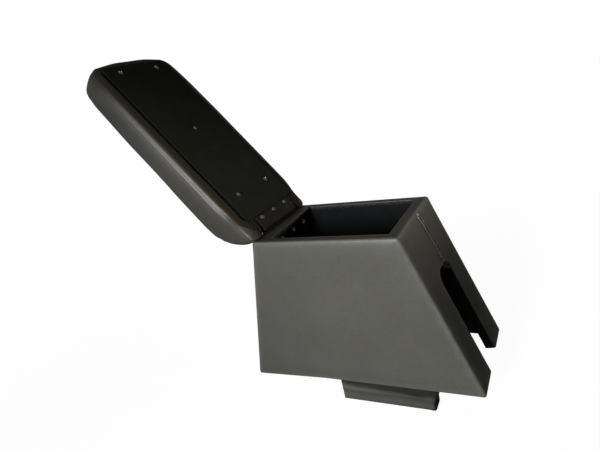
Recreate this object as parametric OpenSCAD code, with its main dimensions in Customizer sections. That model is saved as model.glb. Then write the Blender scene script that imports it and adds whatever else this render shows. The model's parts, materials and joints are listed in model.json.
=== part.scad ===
// Car centre armrest: a trimmed open box with a slotted, sloping front and two side feet,
// and a padded lid on a steel butt hinge along the rear rim.
// +X is the front of the car, +Z is up, and the origin lies midway between the feet.

/* [Box] */
// Width over the covered sides
box_w = 130; // [122:1:150]
// Length of the rim between the covered ends
top_len = 172; // [160:1:195]
// Height from the level bottom edge to the rim
box_h = 181; // [165:1:205]
// Lean of the rear wall in degrees
back_lean = 13; // [9:0.5:16]
// Slope of the front wall in degrees
front_slope = 20; // [15:0.5:24]
// Fall of the bottom edge at the heel
heel_drop = 4.5; // [2:0.5:7]
// Length of the falling stretch of the bottom edge
heel_run = 96; // [70:1:105]

/* [Boards and skins] */
// Thickness of the side boards
side_t = 9; // [8:0.5:11]
// Thickness of the front board
front_t = 9; // [8:0.5:11]
// Thickness of the rear board that carries the hinge
back_t = 16; // [13:0.5:18]
// Thickness of the bin floor
floor_t = 6; // [4:0.5:7]
// Thickness of the leatherette
skin = 1.2; // [0.8:0.1:1.5]
// Thickness of the felt lining
felt_t = 1.5; // [1:0.1:2]
// Depth of the bin from the rim to the felt
bin_depth = 50; // [42:1:52]
// Height of the hem that is folded up inside the skirt
hem_h = 18; // [12:1:24]

/* [Front slot] */
// Width of the covered slot
slot_w = 43; // [36:1:50]
// Sideways place of the slot's middle
slot_y = 2; // [-4:0.5:4]
// Distance from the rim to the slot's top along the slope
slot_top = 67; // [65:1:90]
// Corner radius at the slot's top
slot_r = 14; // [8:1:16]

/* [Feet] */
// Length of each covered foot
foot_len = 112; // [90:1:125]
// Thickness of each covered foot
foot_w = 20; // [17:0.5:24]
// Height of the feet below the level bottom edge
foot_drop = 31; // [22:1:40]
// Setback of each foot from the covered side
foot_inset = 5; // [3:0.5:7]
// Middle of the feet ahead of the rear rim edge
foot_ahead = 126; // [110:1:135]
// Height of the tongue that is screwed inside the skirt
tongue_h = 45; // [32:1:60]

/* [Hinge] */
// Length of the hinge
hinge_len = 78; // [66:1:90]
// Width of each leaf from the pin's axis
leaf_w = 17.5; // [16:0.5:18.5]
// Thickness of the leaves
leaf_t = 1.2; // [0.9:0.1:1.5]
// Outer radius of the knuckles
knuckle_r = 2.6; // [2.4:0.1:3]
// Radius of the pin
pin_r = 1.3; // [1:0.1:1.4]
// Free gap between neighbouring knuckles
knuckle_gap = 0.3; // [0.2:0.1:0.5]
// Distance from the pin's axis to the row of screws
leaf_row = 13; // [12.5:0.1:13.5]
// Distance between neighbouring screws of a leaf
leaf_pitch = 28; // [24:1:30]

/* [Lid] */
// Width over the covered lid
lid_w = 134; // [126:1:150]
// Distance from the hinge axis to the lid's front end
lid_len = 277; // [255:1:300]
// Thickness of the covered lid
lid_t = 45; // [38:1:50]
// Opening angle of the lid in degrees
lid_open = 127; // [110:1:127]
// Overhang of the lid behind the hinge axis
lid_tail = 2; // [1:0.1:2]
// Length of the round at the lid's rear end
tail_run = 44; // [30:1:50]
// Radius of the round at the lid's front end
nose_r = 15; // [12:1:20]
// Fall of the lid's top towards its front end
nose_fall = 8; // [4:0.5:12]
// Length over which the top falls
nose_run = 85; // [60:1:110]
// Radius along the lid's upper edges
edge_r = 13; // [9:0.5:16]
// Radius along the lid's lower edges
low_r = 7; // [5:0.5:8]
// Corner radius of the lid in plan
corner_r = 20; // [14:1:26]
// Thickness of the lid's base board
board_t = 8; // [6:0.5:10]
// Width of the leatherette that is folded under the board
fold_w = 22; // [20:1:28]

/* [Lid liner] */
// Thickness of the liner's hardboard
liner_board_t = 2.5; // [2:0.1:3.2]
// Thickness of the felt on the liner
liner_felt_t = 0.7; // [0.5:0.1:1]
// Distance from the hinge axis to the liner's rear edge
liner_back = 19; // [18.7:0.1:22]
// Margin between the liner and the lid's sides
liner_margin = 12; // [10:0.5:16]
// Margin between the liner and the lid's front end
liner_front = 5; // [5:0.5:14]
// Corner radius of the liner
liner_r = 9; // [6:0.5:14]
// Distance from the hinge axis to the first pair of screws
liner_row = 52; // [44:1:60]
// Distance from the last pair of screws to the liner's front edge
liner_end = 11; // [8:1:20]
// Half the distance between the screws of a pair
liner_half = 32; // [26:1:36]

/* [Fasteners] */
// Head radius of the pan head screws
head_r = 3; // [2.6:0.1:3.2]
// Head height of the pan head screws
head_h = 1.6; // [1.3:0.1:1.8]
// Shank radius of the pan head screws
shank_r = 1.7; // [1.4:0.1:1.9]
// Shank radius of the hinge bolts
bolt_r = 2; // [1.6:0.1:2.2]
// Width across the flats of the hinge nuts
nut_flats = 7; // [6:0.5:8]
// Height of the hinge nuts
nut_h = 3.2; // [2.4:0.1:4]
// Head radius of the countersunk screws
flush_r = 3.6; // [3.2:0.1:4]
// Shank radius of the countersunk screws
flush_shank = 1.8; // [1.5:0.1:2]
// Length of the countersunk board screws
flush_len = 30; // [24:1:35]

/* [Hidden] */

leather = [0.17, 0.165, 0.155];
felt = [0.03, 0.03, 0.03];
fibreboard = [0.62, 0.48, 0.33];
hardboard = [0.3, 0.2, 0.13];
foam_pad = [0.75, 0.72, 0.6];
steel = [0.3, 0.27, 0.25];
bright_steel = [0.7, 0.7, 0.7];

fine = 48;
hole_gap = 0.05;
rest_gap = 0.4;
past = 5;
flush_h = flush_r - flush_shank;
recess_w = 0.7;
thread_out = 1.5;

// Heights and places along the car, from the sizes above
base_z = foot_drop;
rim_z = base_z + box_h;
rear_x = -foot_ahead;
front_x = rear_x + top_len;
side_y = box_w / 2;
inner_y = side_y - skin - side_t;
floor_top = rim_z - bin_depth - felt_t;

// Side outline of the covered box, counter-clockwise in X and Z
heel = [rear_x - (box_h + heel_drop) * tan(back_lean), base_z - heel_drop];
heel_end = [heel[0] + heel_run, base_z];
toe = [front_x + box_h * tan(front_slope), base_z];
outline = [heel, heel_end, toe, [front_x, rim_z], [rear_x, rim_z]];

// Hinge axis: clear above the rim by the liner and a resting gap
leaf_back = knuckle_r - leaf_t;
hinge_rise = leaf_back + liner_board_t + liner_felt_t + rest_gap;
hinge_x = rear_x + (leaf_back + hinge_rise * sin(back_lean)) / cos(back_lean);
hinge_z = rim_z + hinge_rise;
knuckles = 5;
knuckle_len = hinge_len / knuckles;
relief_r = 7.2;
relief_end = 1.5;

// The lid's own frame: X from the hinge axis to the front end, Z up when it is closed
under_z = -leaf_back;
top_z = under_z + lid_t;
tail_mid = 6;
nose_mid = 10;
liner_z = under_z - liner_board_t - liner_felt_t;
board_margin = low_r + 1.5;
board_back = relief_r + skin + 0.6;
liner_last = lid_len - liner_front - liner_end;
liner_screws = [[liner_row, -liner_half], [liner_row, liner_half],
    [(liner_row + liner_last) / 2, 0],
    [liner_last, -liner_half], [liner_last, liner_half]];

function unit(v) = v / norm(v);
function left_of(v) = [-v[1], v[0]];
function crossing(p, u, q, v) =
    p + u * (((q - p)[0] * v[1] - (q - p)[1] * v[0]) / (u[0] * v[1] - u[1] * v[0]));

// The box outline moved inwards by one distance for each edge:
// heel edge, bottom edge, front, rim and back
function inset(d) = [for (i = [0:4]) let (
    before = outline[(i + 4) % 5], here = outline[i], after = outline[(i + 1) % 5],
    u = unit(here - before), v = unit(after - here))
    crossing(here + left_of(u) * d[(i + 4) % 5], u, here + left_of(v) * d[i], v)];

core = inset([skin, skin, skin, skin, skin]);
inside = inset([skin, skin, skin + front_t, skin, skin + back_t]);

// A prism across the box from an outline in X and Z
module across(points, y0, y1) {
    translate([0, y1, 0]) rotate([90, 0, 0]) linear_extrude(y1 - y0) polygon(points);
}

module between_heights(low, high) {
    intersection() {
        children();
        translate([-500, -500, low]) cube([1000, 1000, high - low]);
    }
}

// The front slot, grown by a margin, as a cutter through the sloping front
module slot_cutter(grow) {
    half = slot_w / 2 + grow;
    top = -slot_top + grow;
    r = slot_r + grow;
    reach = box_h * 1.4;
    translate([front_x, slot_y, rim_z]) rotate([0, -front_slope, 0])
        translate([-30, 0, 0]) rotate([90, 0, 90]) linear_extrude(45) {
            translate([-half, top - reach]) square([2 * half, reach - r]);
            translate([r - half, top - reach]) square([2 * (half - r), reach]);
            for (side = [-1, 1]) translate([side * (half - r), top - r]) circle(r, $fn = fine);
        }
}

// Fasteners point down from a seat at the origin
module cross_recess(depth) {
    for (turn = [0, 90]) rotate([0, 0, turn])
        translate([-head_r * 0.6, -recess_w / 2, -depth]) cube([head_r * 1.2, recess_w, depth + 1]);
}

module pan_screw(length, radius) {
    difference() {
        union() {
            cylinder(h = head_h / 2, r = head_r, $fn = fine);
            translate([0, 0, head_h / 2])
                cylinder(h = head_h / 2, r1 = head_r, r2 = head_r * 0.7, $fn = fine);
            translate([0, 0, -length]) cylinder(h = length + head_h / 4, r = radius, $fn = fine);
        }
        translate([0, 0, head_h]) cross_recess(head_h * 0.6);
    }
}

module flush_screw(length) {
    difference() {
        union() {
            translate([0, 0, -flush_h])
                cylinder(h = flush_h, r1 = flush_shank, r2 = flush_r, $fn = fine);
            translate([0, 0, -length])
                cylinder(h = length - flush_h / 2, r = flush_shank, $fn = fine);
        }
        cross_recess(flush_h * 0.6);
    }
}

module flush_hole(length) {
    translate([0, 0, -flush_h])
        cylinder(h = flush_h, r1 = flush_shank + hole_gap, r2 = flush_r + hole_gap, $fn = fine);
    cylinder(h = past, r = flush_r + hole_gap, $fn = fine);
    translate([0, 0, -length - hole_gap])
        cylinder(h = length, r = flush_shank + hole_gap, $fn = fine);
}

// Places of the board screws: depths below the rim for the ends, and steps along the floor
function back_point(depth) = [rear_x - depth * tan(back_lean), rim_z - depth]
    + [cos(back_lean), -sin(back_lean)] * (skin + back_t / 2);
function front_point(depth) = [front_x + depth * tan(front_slope), rim_z - depth]
    - [cos(front_slope), sin(front_slope)] * (skin + front_t / 2);
back_points = [for (part = [0.13, 0.5, 0.87]) back_point(box_h * part)];
front_points = [for (part = [0.13, 0.5, 0.87]) front_point(box_h * part)];
floor_points = [for (part = [0.15, 0.5, 0.85])
    [rear_x + top_len * part, floor_top - floor_t / 2]];

module at_both_sides(points) {
    for (p = points, side = [-1, 1])
        translate([p[0], side * (side_y - skin), p[1]]) rotate([-side * 90, 0, 0]) children();
}

module board_screws(points) {
    at_both_sides(points) flush_screw(flush_len);
}

module board_screw_holes() {
    for (points = [back_points, front_points, floor_points])
        at_both_sides(points) flush_hole(flush_len);
}

module side_board(side) {
    color(fibreboard) difference() {
        across(core, side > 0 ? inner_y : -inner_y - side_t, side > 0 ? inner_y + side_t : -inner_y);
        board_screw_holes();
        foot_screw_holes();
    }
}

module back_board() {
    color(fibreboard) difference() {
        across([core[0], inside[0], inside[4], core[4]], -inner_y, inner_y);
        board_screw_holes();
        box_leaf_holes();
    }
}

module front_board() {
    color(fibreboard) difference() {
        across([inside[2], core[2], core[3], inside[3]], -inner_y, inner_y);
        slot_cutter(skin);
        board_screw_holes();
    }
}

module bin_floor() {
    color(fibreboard) difference() {
        between_heights(floor_top - floor_t, floor_top) across(inside, -inner_y, inner_y);
        board_screw_holes();
    }
}

// Leatherette: outer faces, rim, bottom edge, hem inside the skirt and the slot's edge
module cover_shell() {
    mouth = inset([skin * 2, skin * 2, skin + front_t + felt_t, -past, skin + back_t + felt_t]);
    difference() {
        across(outline, -side_y, side_y);
        across(core, skin - side_y, side_y - skin);
        across(mouth, felt_t - inner_y, inner_y - felt_t);
    }
}

module cover_hem() {
    block = inset([skin / 2, skin / 2, skin + front_t, skin, skin + back_t]);
    between_heights(heel[1] - past, base_z + hem_h) across(block, -inner_y, inner_y);
}

module slot_edge() {
    block = inset([skin / 2, skin / 2, skin / 2, skin * 2, skin + back_t]);
    intersection() {
        slot_cutter(skin);
        across(block, -inner_y, inner_y);
    }
}

module box_cover() {
    skirt = inset([-past, -past, skin * 2 + front_t, skin * 2, skin * 2 + back_t]);
    color(leather) difference() {
        union() {
            cover_shell();
            cover_hem();
            slot_edge();
        }
        across(skirt, skin - inner_y, inner_y - skin);
        slot_cutter(0);
        box_leaf_holes();
    }
}

module wall_lining() {
    inner = inset([skin, skin, skin + front_t + felt_t, 0, skin + back_t + felt_t]);
    color(felt) difference() {
        between_heights(floor_top, rim_z - skin) difference() {
            across(inside, -inner_y, inner_y);
            across(inner, felt_t - inner_y, inner_y - felt_t);
        }
        box_leaf_holes();
    }
}

module floor_lining() {
    inner = inset([skin, skin, skin + front_t + felt_t, skin, skin + back_t + felt_t]);
    color(felt) between_heights(floor_top, floor_top + felt_t)
        across(inner, felt_t - inner_y, inner_y - felt_t);
}

// Feet: a block under the side board with a tongue inside the skirt, and its own cover
foot_in = side_y - foot_inset - foot_w;
tongue_y = inner_y - skin;
foot_screw_z = base_z + hem_h / 2 + tongue_h / 3;

module foot_block(side) {
    half = foot_len / 2 - skin;
    low_y = foot_in + skin;
    color(fibreboard) difference() {
        union() {
            mirror_to(side) translate([-half, low_y, skin])
                cube([2 * half, foot_w - 2 * skin, base_z - skin]);
            mirror_to(side) translate([-half, low_y, base_z - skin])
                cube([2 * half, tongue_y - low_y, tongue_h + skin]);
        }
        across([heel, heel_end, heel_end + [0, skin], heel + [0, skin]], -side_y, side_y);
        foot_screw_holes();
    }
}

module mirror_to(side) {
    mirror([0, side < 0 ? 1 : 0, 0]) children();
}

module foot_cover(side) {
    color(leather) mirror_to(side) difference() {
        translate([-foot_len / 2, foot_in, 0]) cube([foot_len, foot_w, base_z]);
        translate([skin - foot_len / 2, foot_in + skin, skin])
            cube([foot_len - 2 * skin, foot_w - 2 * skin, base_z]);
    }
}

module at_foot_screws(side) {
    mirror_to(side) for (step = [-1, 1])
        translate([step * foot_len / 4, foot_in + skin, foot_screw_z]) rotate([90, 0, 0]) children();
}

foot_screw_len = side_y - skin - foot_in - skin - 2;

module foot_screws(side) {
    color(bright_steel) at_foot_screws(side) pan_screw(foot_screw_len, shank_r);
}

module foot_screw_holes() {
    for (side = [-1, 1]) at_foot_screws(side)
        translate([0, 0, -foot_screw_len - hole_gap])
            cylinder(h = foot_screw_len + past, r = shank_r + hole_gap, $fn = fine);
}

// Hinge: each leaf is drawn along +X from the axis, with its outer face turned down
module at_hinge(angle) {
    translate([hinge_x, 0, hinge_z]) rotate([0, -angle, 0]) children();
}

module along_y(radius, y0, y1) {
    translate([0, y1, 0]) rotate([90, 0, 0]) cylinder(h = y1 - y0, r = radius, $fn = fine);
}

module leaf(first, angle) {
    color(steel) at_hinge(angle) difference() {
        union() {
            translate([0, -hinge_len / 2, -knuckle_r]) cube([leaf_w, hinge_len, leaf_t]);
            along_y(knuckle_r, -hinge_len / 2, hinge_len / 2);
        }
        along_y(pin_r + hole_gap, -hinge_len, hinge_len);
        for (k = [1 - first:2:knuckles - 1]) {
            y0 = -hinge_len / 2 + k * knuckle_len - knuckle_gap / 2;
            along_y(knuckle_r + knuckle_gap, y0, y0 + knuckle_len + knuckle_gap);
        }
        for (step = [-1:1]) translate([leaf_row, step * leaf_pitch, -knuckle_r - past])
            cylinder(h = 2 * past, r = bolt_r + hole_gap, $fn = fine);
    }
}

box_leaf_angle = 270 - back_lean;

module at_leaf_screws(angle) {
    at_hinge(angle) for (step = [-1:1])
        translate([leaf_row, step * leaf_pitch, -knuckle_r]) rotate([180, 0, 0]) children();
}

module hinge_pin() {
    color(bright_steel) translate([hinge_x, 0, hinge_z])
        along_y(pin_r, -hinge_len / 2 - 0.5, hinge_len / 2 + 0.5);
}

stack = leaf_t + skin + back_t + felt_t;

module box_leaf_bolts() {
    color(bright_steel) at_leaf_screws(box_leaf_angle) pan_screw(stack + nut_h + thread_out, bolt_r);
}

module box_leaf_nuts() {
    color(bright_steel) at_leaf_screws(box_leaf_angle) translate([0, 0, -stack - nut_h])
        difference() {
            cylinder(h = nut_h, r = nut_flats / sqrt(3), $fn = 6);
            translate([0, 0, -1]) cylinder(h = nut_h + 2, r = bolt_r + hole_gap, $fn = fine);
        }
}

module box_leaf_holes() {
    at_leaf_screws(box_leaf_angle) translate([0, 0, -stack - past])
        cylinder(h = stack + past, r = bolt_r + hole_gap, $fn = fine);
}

lid_screw_len = leaf_t + skin + board_t - 1;

module lid_leaf_screws() {
    color(bright_steel) at_leaf_screws(lid_open) pan_screw(lid_screw_len, shank_r);
}

module lid_screw_holes() {
    for (step = [-1:1]) translate([leaf_row, step * leaf_pitch, -knuckle_r - 1])
        cylinder(h = lid_screw_len + 1 + hole_gap, r = shank_r + hole_gap, $fn = fine);
    for (p = liner_screws) translate([p[0], p[1], liner_z])
        cylinder(h = liner_screw_len + hole_gap, r = flush_shank + hole_gap, $fn = fine);
}

// The padded lid as a loft of rounded sections, moved inwards by g for its inner layers
function round_end(t) = sqrt(max(0, 1 - pow(max(0, t), 2)));
function crown(x, g) = top_z - g
    - nose_fall * pow(max(0, (x - lid_len + nose_run) / nose_run), 1.6);
function mid_z(x) = tail_mid + (nose_mid - tail_mid) * x / lid_len;
function section_top(x, g) = mid_z(x) + (crown(x, g) - mid_z(x))
    * round_end((tail_run - lid_tail - x) / (tail_run - g))
    * round_end((x - lid_len + nose_r) / (nose_r - g));
function section_bottom(x, g) = mid_z(x) - (mid_z(x) - under_z - g)
    * round_end((low_r - lid_tail - x) / (low_r - g))
    * round_end((x - lid_len + low_r) / (low_r - g));
function section_half(x, g) = lid_w / 2 - g
    - (corner_r - g) * (1 - round_end((x - lid_len + corner_r) / (corner_r - g)))
    - (low_r - g) * (1 - round_end((low_r - lid_tail - x) / (low_r - g)));

turns = [12, 25, 38, 51, 64, 77, 90];
corner_steps = 6;
function stations(g) = concat(
    [for (a = turns) tail_run - lid_tail - (tail_run - g) * cos(a)],
    [for (k = [1:3]) tail_run - lid_tail
        + (lid_len - nose_run - tail_run + lid_tail) * k / 3],
    [for (k = [1:4]) lid_len - nose_run + (nose_run - nose_r) * k / 4],
    [for (a = turns) if (a < 90) lid_len - nose_r + (nose_r - g) * sin(a)]);

function corner(x, y, z, r, from, side) = [for (k = [0:corner_steps]) let (
    a = from + 90 * k / corner_steps) [x, y + side * r * cos(a), z + r * sin(a)]];
function section(x, g) = let (half = section_half(x, g), low = section_bottom(x, g),
    high = section_top(x, g), room = (high - low) * 0.49,
    rh = min(edge_r - g, room), rl = min(low_r - g, room))
    concat(
        corner(x, half - rl, low + rl, rl, -90, 1),
        corner(x, half - rh, high - rh, rh, 0, 1),
        corner(x, rh - half, high - rh, rh, 90, 1),
        corner(x, rl - half, low + rl, rl, 180, 1));

module lid_solid(g) {
    rings = [for (x = stations(g)) section(x, g)];
    count = len(rings[0]);
    last = len(rings) - 1;
    sides = [for (i = [0:last - 1], j = [0:count - 1], half = [0, 1]) let (
        a = i * count + j, b = i * count + (j + 1) % count) half == 0
        ? [a, b + count, b] : [a, a + count, b + count]];
    ends = [[for (j = [0:count - 1]) j], [for (j = [0:count - 1]) last * count + count - 1 - j]];
    polyhedron([for (ring = rings) each ring], concat(sides, ends), convexity = 4);
}

// Room around the knuckles in the lid's rear end
module relief(g) {
    along_y(relief_r + g, -hinge_len / 2 - relief_end - g, hinge_len / 2 + relief_end + g);
}

module rounded_plate(x0, x1, half, r, low, high) {
    translate([0, 0, low]) linear_extrude(high - low) {
        translate([x0 + r, -half]) square([x1 - x0 - 2 * r, 2 * half]);
        translate([x0, r - half]) square([x1 - x0, 2 * (half - r)]);
        for (x = [x0 + r, x1 - r], side = [-1, 1])
            translate([x, side * (half - r)]) circle(r, $fn = fine);
    }
}

module board_plate() {
    rounded_plate(board_back, lid_len - board_margin, lid_w / 2 - board_margin,
        corner_r - low_r, under_z + skin, under_z + skin + board_t);
}

module lid_base_board() {
    color(fibreboard) at_hinge(lid_open) difference() {
        board_plate();
        lid_screw_holes();
    }
}

module lid_foam() {
    color(foam_pad) at_hinge(lid_open) difference() {
        lid_solid(skin);
        relief(skin);
        board_plate();
    }
}

module lid_cover() {
    color(leather) at_hinge(lid_open) difference() {
        lid_solid(0);
        relief(0);
        difference() {
            lid_solid(skin);
            relief(skin);
        }
        rounded_plate(liner_back + fold_w / 3, lid_len - fold_w, lid_w / 2 - fold_w, liner_r,
            under_z - 1, under_z + skin + 1);
        lid_screw_holes();
    }
}

module liner_plate(g, low, high) {
    rounded_plate(liner_back + g, lid_len - liner_front - g, lid_w / 2 - liner_margin - g,
        liner_r - g, low, high);
}

liner_screw_len = liner_felt_t + liner_board_t + skin + board_t - 2;

module liner_screw_seats() {
    for (p = liner_screws) translate([p[0], p[1], liner_z]) rotate([180, 0, 0])
        flush_hole(liner_screw_len);
}

module lid_liner_board() {
    color(hardboard) at_hinge(lid_open) difference() {
        liner_plate(liner_felt_t, liner_z + liner_felt_t, under_z);
        liner_screw_seats();
    }
}

module lid_liner_felt() {
    color(felt) at_hinge(lid_open) difference() {
        liner_plate(0, liner_z, under_z);
        liner_plate(liner_felt_t, liner_z + liner_felt_t, under_z + 1);
        liner_screw_seats();
    }
}

module lid_liner_screws() {
    color(bright_steel) at_hinge(lid_open) for (p = liner_screws)
        translate([p[0], p[1], liner_z]) rotate([180, 0, 0]) flush_screw(liner_screw_len);
}

side_board(-1);  // right_side_board
side_board(1);  // left_side_board
back_board();
front_board();
bin_floor();
box_cover();
wall_lining();
floor_lining();
color(bright_steel) board_screws(back_points);  // back_board_screws
color(bright_steel) board_screws(front_points);  // front_board_screws
color(bright_steel) board_screws(floor_points);  // bin_floor_screws
foot_block(-1);  // right_foot_block
foot_block(1);  // left_foot_block
foot_cover(-1);  // right_foot_cover
foot_cover(1);  // left_foot_cover
foot_screws(-1);  // right_foot_screws
foot_screws(1);  // left_foot_screws
leaf(0, box_leaf_angle);  // hinge_box_leaf
leaf(1, lid_open);  // hinge_lid_leaf
hinge_pin();
box_leaf_bolts();
box_leaf_nuts();
lid_leaf_screws();
lid_base_board();
lid_foam();
lid_cover();
lid_liner_board();
lid_liner_felt();
lid_liner_screws();
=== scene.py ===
"""Dresses a car centre armrest: a leatherette box with a felt bin, a padded lid on a butt
hinge, a felt panel under the lid, and two side feet, on a white studio floor."""

import json
import math

import bmesh
import bpy
from bpy.props import FloatProperty, FloatVectorProperty, IntProperty, PointerProperty
from mathutils import Matrix, Vector, noise


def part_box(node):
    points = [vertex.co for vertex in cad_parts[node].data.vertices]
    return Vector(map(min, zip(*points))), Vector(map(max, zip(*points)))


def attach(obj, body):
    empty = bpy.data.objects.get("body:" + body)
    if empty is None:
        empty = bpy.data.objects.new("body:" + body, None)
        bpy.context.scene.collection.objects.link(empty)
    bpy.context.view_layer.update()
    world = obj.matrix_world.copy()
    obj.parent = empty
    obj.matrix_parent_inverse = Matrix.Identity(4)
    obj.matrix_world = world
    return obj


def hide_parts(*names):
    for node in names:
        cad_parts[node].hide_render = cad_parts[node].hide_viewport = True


bl_info = {
    "name": "Car Centre Armrest",
    "version": (1, 0, 0),
    "blender": (4, 5, 0),
    "location": "3D View > Sidebar > Armrest",
    "description": "Leatherette, felt, hinge and studio for a car centre armrest",
    "category": "Object",
}

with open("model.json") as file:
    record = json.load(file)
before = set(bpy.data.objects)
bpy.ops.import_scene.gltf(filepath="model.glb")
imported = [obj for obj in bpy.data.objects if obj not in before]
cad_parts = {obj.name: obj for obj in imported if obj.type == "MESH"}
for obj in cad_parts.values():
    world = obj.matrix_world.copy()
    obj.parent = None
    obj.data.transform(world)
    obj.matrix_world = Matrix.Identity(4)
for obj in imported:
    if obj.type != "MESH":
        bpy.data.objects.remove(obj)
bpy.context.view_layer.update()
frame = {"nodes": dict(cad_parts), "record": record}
JOINT = frame["record"]["behaviour"]["joints"][0]
HINGE = Vector(JOINT["pos_m"])
OPENING = math.radians(JOINT["range_deg"][1])
# The lid's own frame: X from the hinge axis to its front end, Z up when it is closed
LID = Matrix.Translation(HINGE) @ Matrix.Rotation(-OPENING, 4, "Y")
LID_BACK = LID.inverted()

BOX_LOW, BOX_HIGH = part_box("box_cover")
FOOT_LOW, FOOT_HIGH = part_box("right_foot_cover")
RIM = BOX_HIGH.z
HALF_WIDTH = BOX_HIGH.y
LEVEL = FOOT_HIGH.z
# Length of the skirt's slanted heel, along X
HEEL_RUN = 0.096
PANEL = [LID_BACK @ v.co for v in frame["nodes"]["lid_liner_felt"].data.vertices]
PANEL_LOW = Vector([min(p[k] for p in PANEL) for k in range(3)])
PANEL_HIGH = Vector([max(p[k] for p in PANEL) for k in range(3)])
PANEL_ROUND = 0.009
# A point this near to a face counts as on it
ON_FACE = 2e-5

NODE_FINISHES = {
    "dark hinge plating": ("hinge_box_leaf", "hinge_lid_leaf"),
    "zinc plating": ("hinge_pin", "box_leaf_bolts", "box_leaf_nuts", "lid_leaf_screws",
                     "back_board_screws", "front_board_screws", "bin_floor_screws",
                     "right_foot_screws", "left_foot_screws"),
    "dark fibreboard": ("right_side_board", "left_side_board", "back_board", "front_board",
                        "bin_floor", "right_foot_block", "left_foot_block", "lid_liner_board"),
}

# Each lamp: its name, place, target, size, spread in degrees, colour, the studio setting
# that holds its power, and whether gloss shows it
LAMPS = (
    ("side softbox", (-0.18, -1.44, 0.61), (0.03, -0.06, 0.19), (0.34, 0.46), 42,
     (1, 1, 1), "side_light", True),
    ("top softbox", (-0.05, 0.1, 1.3), (0, 0, 0.2), (0.5, 0.5), 180,
     (1, 0.84, 0.62), "top_light", True),
    ("back strip", (0.80, 1.45, 0.44), (0.13, 0, 0.365), (0.5, 0.32), 10,
     (1, 0.95, 0.86), "back_light", False),
    ("far fill", (-1.0, 1.25, 0.34), (-0.06, 0, 0.22), (0.6, 0.6), 60,
     (1, 0.98, 0.95), "far_light", False),
)
FLOOR_HALF = 4.0
# The floor turns from its own brightness to the backdrop's between these two distances
GLOW_FROM, GLOW_TO = 0.25, 1.0
GLOW_FALL = 0.05
# What gloss shows of the floor
FLOOR_IN_GLOSS = (0.25, 0.25, 0.25)
SKY_TINT = (1, 1, 0.97)

CAMERA_PLACE = (0.1942, -0.4867, 0.3866)
# The camera's own right, up and backward directions, rolled as the photographer held it
CAMERA_RIGHT = (0.87108, 0.44104, -0.21612)
CAMERA_UP = (0.04316, 0.36959, 0.92819)
CAMERA_BACK = (0.48924, -0.81785, 0.30291)
SENSOR_WIDTH = 36


# Settings

def length_property(name, description, default):
    return FloatProperty(name=name, description=description, default=default, unit="LENGTH")


def angle_property(name, description, degrees):
    return FloatProperty(name=name, description=description, default=math.radians(degrees),
                         subtype="ANGLE")


def level_property(name, description, default):
    return FloatProperty(name=name, description=description, default=default, min=0)


def colour_property(name, description, default):
    return FloatVectorProperty(name=name, description=description, default=default, size=3,
                               subtype="COLOR", min=0, max=1)


class ArmrestShape(bpy.types.PropertyGroup):
    """Sizes of the upholstery"""

    front_slope: angle_property("Front Slope", "Slope of the front face", 20)
    back_lean: angle_property("Rear Lean", "Lean of the rear face", 13)
    edge_radius: length_property("Edge Radius", "Round of the box's outer edges", 0.0031)
    mouth_radius: length_property("Mouth Radius", "Round of the rim's inner edge", 0.001)
    puff: length_property("Puff", "How far the thin padding stands out between the edges", 0.0018)
    puff_reach: length_property(
        "Puff Reach", "How far from an edge the padding falls away", 0.009)
    rim_fall: length_property("Rim Fall", "How far the rim falls towards its outer edge", 0.00045)
    corner_gather: length_property(
        "Corner Gather", "Height of the small gathers at the rim's corners", 0.0003)
    skin_cell: length_property("Skin Cell", "Spacing of the cuts that let the skin bend", 0.007)
    ripple: length_property("Ripple", "Height of the slow waves in the leatherette", 0.00022)
    slot_middle: length_property("Slot Middle", "Sideways place of the front slot", 0.002)
    slot_half: length_property("Slot Half Width", "Half the width of the front slot", 0.0215)
    slot_top: length_property(
        "Slot Top", "Distance from the rim to the slot along the slope", 0.067)
    slot_round: length_property("Slot Round", "Corner radius at the slot's top", 0.014)
    seam_width: length_property(
        "Seam Width", "Distance between the two rows of the front seam", 0.0056)
    seam_height: length_property("Seam Height", "Height of the front seam's raised rows", 0.0009)
    seam_top: length_property("Seam Top", "Sideways place of the seam at the rim", 0.004)
    seam_bottom: length_property("Seam Bottom", "Sideways place of the seam at the slot", 0.009)
    stitch_pitch: length_property("Stitch Pitch", "Distance between stitches", 0.0036)
    felt_round: length_property("Felt Round", "Round of the felt's edges", 0.0011)
    felt_pile: length_property("Felt Pile", "Unevenness of the felt", 0.00022)
    pad_cell: length_property("Pad Cell", "Voxel size of the lid's pad before it swells", 0.004)
    roll: length_property("Roll", "How far the pad's edge rolls up round the panel", 0.0020)
    pad_swell: length_property("Pad Swell", "Furthest that the pad may swell", 0.0032)
    pad_fullness: length_property(
        "Pad Fullness", "How much wider the full pad is than its board", 0.0034)
    pad_hump: length_property("Pad Hump", "Extra fullness of the pad's rear half", 0.0026)
    pad_end: length_property("Pad End", "How far the pad's free end swells out", 0.0072)
    pad_tail: length_property("Pad Tail", "How far the pad swells out beside the hinge", 0.0020)
    pad_fold: length_property(
        "Pad Fold", "How far the pad's lower edge is pulled out to a firm fold", 0.0024)
    corner_tail: length_property(
        "Corner Tail", "How far the gathered corners reach past the hinge line", 0.0062)
    pad_pressure: FloatProperty(
        name="Pad Pressure", description="Pressure inside the pad while it swells",
        default=4.0)
    pad_steps: IntProperty(
        name="Pad Steps", description="Steps of the swelling", default=20)
    pleat: length_property("Pleat", "Height of the gathers at the lid's rear corners", 0.0007)
    dome_radius: length_property("Screw Head Radius", "Radius of the panel screws' heads", 0.0034)
    dome_height: length_property("Screw Head Height", "Height of the panel screws' heads", 0.0022)


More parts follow.
